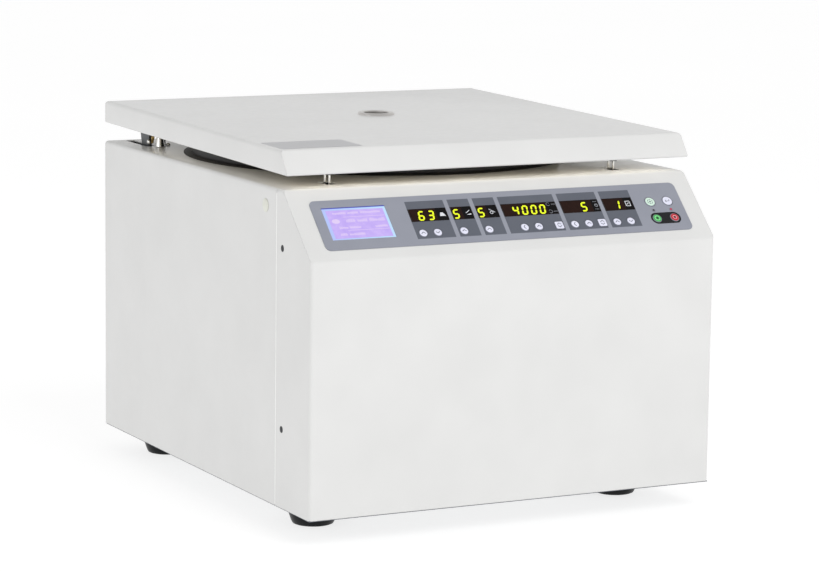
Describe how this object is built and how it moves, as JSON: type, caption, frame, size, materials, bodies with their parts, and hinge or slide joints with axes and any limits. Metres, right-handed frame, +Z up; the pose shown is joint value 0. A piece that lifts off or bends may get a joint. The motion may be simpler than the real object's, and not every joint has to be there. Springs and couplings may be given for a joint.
{
  "type": "butterfat centrifuge",
  "caption": "Bench centrifuge for butterfat tests: sheet metal cabinet with sloped key console, hinged lid with sight port, steel chamber and swing-out bucket rotor.",
  "frame": {"origin": "on the table, below the centre of the cabinet", "axes": "+Y towards the back, -Y is the front with the console, +Z up, +X to the right seen from the front"},
  "size_m": [0.471, 0.545, 0.399],
  "materials": {
    "white_paint": "satin powder coat",
    "grey_panel": "printed polycarbonate",
    "display_glass": "backlit window",
    "digit_glass": "smoked acrylic",
    "led_red": "clear lens",
    "circuit_board": "solder mask",
    "zinc_steel": "zinc plated",
    "stainless": "brushed stainless",
    "dark_steel": "phosphated",
    "chrome_parts": "bright chrome",
    "black_rubber": "moulded rubber",
    "black_plastic": "moulded plastic",
    "white_plastic": "moulded plastic",
    "key_white": "moulded plastic",
    "key_green": "moulded plastic",
    "key_red": "moulded plastic",
    "motor_paint": "painted casting",
    "machined_alloy": "anodised",
    "liner_grey": "satin paint",
    "foil": "blank foil",
    "sight_glass": "clear"
  },
  "bodies": {
    "cabinet": {"base_plate": "zinc_steel", "chassis_frame": "zinc_steel", "guard_ring": "dark_steel", "feet": "black_rubber", "screws": "dark_steel", "front_cover": "white_paint", "housing": "white_paint", "rear_panel": "white_paint", "console_panel": "grey_panel", "lcd_window": "display_glass", "digit_windows": "digit_glass", "indicator_leds": "led_red", "display_board": "circuit_board", "drive_board": "circuit_board", "chamber_bowl": "stainless", "chamber_seal": "black_rubber", "motor": "motor_paint", "motor_dampers": "black_rubber", "spindle_boot": "black_rubber", "hinge_brackets": "dark_steel", "hinge_pins": "chrome_parts", "hinge_springs": "dark_steel", "power_inlet": "black_plastic", "switch_frame": "black_plastic", "lock_guides": "black_plastic", "lock_solenoid": "black_plastic"},
    "lid": {"lid_pan": "white_paint", "lid_liner": "liner_grey", "lid_arms": "dark_steel", "rest_studs": "chrome_parts", "latch_strikers": "chrome_parts", "viewport_ring": "chrome_parts", "viewport_glass": "sight_glass", "lid_label": "foil"},
    "lock_bar": {"lock_bar": "zinc_steel"},
    "rocker": {"switch_rocker": "black_plastic"},
    "release_plug": {"release_plug": "white_plastic"},
    "rotor": {"spindle": "zinc_steel", "rotor_head": "machined_alloy", "rotor_nut": "black_plastic"},
    "bucket_right": {"bucket_right": "machined_alloy"},
    "bucket_rear": {"bucket_rear": "machined_alloy"},
    "bucket_left": {"bucket_left": "machined_alloy"},
    "bucket_front": {"bucket_front": "machined_alloy"},
    "rotor_down_key": {"rotor_down_key": "key_white"},
    "rotor_up_key": {"rotor_up_key": "key_white"},
    "accel_key": {"accel_key": "key_white"},
    "decel_key": {"decel_key": "key_white"},
    "speed_down_key": {"speed_down_key": "key_white"},
    "speed_up_key": {"speed_up_key": "key_white"},
    "speed_mode_key": {"speed_mode_key": "key_white"},
    "time_down_key": {"time_down_key": "key_white"},
    "time_up_key": {"time_up_key": "key_white"},
    "time_mode_key": {"time_mode_key": "key_white"},
    "program_down_key": {"program_down_key": "key_white"},
    "program_up_key": {"program_up_key": "key_white"},
    "menu_key": {"menu_key": "key_white"},
    "set_key": {"set_key": "key_white"},
    "start_key": {"start_key": "key_green"},
    "stop_key": {"stop_key": "key_red"}
  },
  "joints": [
    {"name": "lid_hinge", "type": "hinge", "parent": "cabinet", "child": "lid", "pos_m": [0, 0.2575, 0.32], "axis": [-1, 0, 0], "range_deg": [0, 75]},
    {"name": "rotor_spin", "type": "hinge", "parent": "cabinet", "child": "rotor", "pos_m": [0, 0.0575, 0.29], "axis": [0, 0, 1], "continuous": true},
    {"name": "lock_slide", "type": "slide", "parent": "cabinet", "child": "lock_bar", "axis": [1, 0, 0], "range_m": [0, 0.012]},
    {"name": "power_switch", "type": "hinge", "parent": "cabinet", "child": "rocker", "pos_m": [0.092, 0.267, 0.086], "axis": [-1, 0, 0], "range_deg": [0, 16]},
    {"name": "plug_pull", "type": "slide", "parent": "cabinet", "child": "release_plug", "axis": [-1, 0, 0], "range_m": [0, 0.014]},
    {"name": "bucket_right_swing", "type": "hinge", "parent": "rotor", "child": "bucket_right", "pos_m": [0.088, 0.0575, 0.29], "axis": [0, -1, 0], "range_deg": [0, 90]},
    {"name": "bucket_rear_swing", "type": "hinge", "parent": "rotor", "child": "bucket_rear", "pos_m": [0, 0.1455, 0.29], "axis": [1, 0, 0], "range_deg": [0, 90]},
    {"name": "bucket_left_swing", "type": "hinge", "parent": "rotor", "child": "bucket_left", "pos_m": [-0.088, 0.0575, 0.29], "axis": [0, 1, 0], "range_deg": [0, 90]},
    {"name": "bucket_front_swing", "type": "hinge", "parent": "rotor", "child": "bucket_front", "pos_m": [0, -0.0305, 0.29], "axis": [-1, 0, 0], "range_deg": [0, 90]},
    {"name": "rotor_down_key_press", "type": "slide", "parent": "cabinet", "child": "rotor_down_key", "axis": [0, 0.6963, -0.7177], "range_m": [0, 0.0008], "stiffness_N_per_m": 400},
    {"name": "rotor_up_key_press", "type": "slide", "parent": "cabinet", "child": "rotor_up_key", "axis": [0, 0.6963, -0.7177], "range_m": [0, 0.0008], "stiffness_N_per_m": 400},
    {"name": "accel_key_press", "type": "slide", "parent": "cabinet", "child": "accel_key", "axis": [0, 0.6963, -0.7177], "range_m": [0, 0.0008], "stiffness_N_per_m": 400},
    {"name": "decel_key_press", "type": "slide", "parent": "cabinet", "child": "decel_key", "axis": [0, 0.6963, -0.7177], "range_m": [0, 0.0008], "stiffness_N_per_m": 400},
    {"name": "speed_down_key_press", "type": "slide", "parent": "cabinet", "child": "speed_down_key", "axis": [0, 0.6963, -0.7177], "range_m": [0, 0.0008], "stiffness_N_per_m": 400},
    {"name": "speed_up_key_press", "type": "slide", "parent": "cabinet", "child": "speed_up_key", "axis": [0, 0.6963, -0.7177], "range_m": [0, 0.0008], "stiffness_N_per_m": 400},
    {"name": "speed_mode_key_press", "type": "slide", "parent": "cabinet", "child": "speed_mode_key", "axis": [0, 0.6963, -0.7177], "range_m": [0, 0.0008], "stiffness_N_per_m": 400},
    {"name": "time_down_key_press", "type": "slide", "parent": "cabinet", "child": "time_down_key", "axis": [0, 0.6963, -0.7177], "range_m": [0, 0.0008], "stiffness_N_per_m": 400},
    {"name": "time_up_key_press", "type": "slide", "parent": "cabinet", "child": "time_up_key", "axis": [0, 0.6963, -0.7177], "range_m": [0, 0.0008], "stiffness_N_per_m": 400},
    {"name": "time_mode_key_press", "type": "slide", "parent": "cabinet", "child": "time_mode_key", "axis": [0, 0.6963, -0.7177], "range_m": [0, 0.0008], "stiffness_N_per_m": 400},
    {"name": "program_down_key_press", "type": "slide", "parent": "cabinet", "child": "program_down_key", "axis": [0, 0.6963, -0.7177], "range_m": [0, 0.0008], "stiffness_N_per_m": 400},
    {"name": "program_up_key_press", "type": "slide", "parent": "cabinet", "child": "program_up_key", "axis": [0, 0.6963, -0.7177], "range_m": [0, 0.0008], "stiffness_N_per_m": 400},
    {"name": "menu_key_press", "type": "slide", "parent": "cabinet", "child": "menu_key", "axis": [0, 0.6963, -0.7177], "range_m": [0, 0.0008], "stiffness_N_per_m": 400},
    {"name": "set_key_press", "type": "slide", "parent": "cabinet", "child": "set_key", "axis": [0, 0.6963, -0.7177], "range_m": [0, 0.0008], "stiffness_N_per_m": 400},
    {"name": "start_key_press", "type": "slide", "parent": "cabinet", "child": "start_key", "axis": [0, 0.6963, -0.7177], "range_m": [0, 0.0008], "stiffness_N_per_m": 400},
    {"name": "stop_key_press", "type": "slide", "parent": "cabinet", "child": "stop_key", "axis": [0, 0.6963, -0.7177], "range_m": [0, 0.0008], "stiffness_N_per_m": 400}
  ]
}
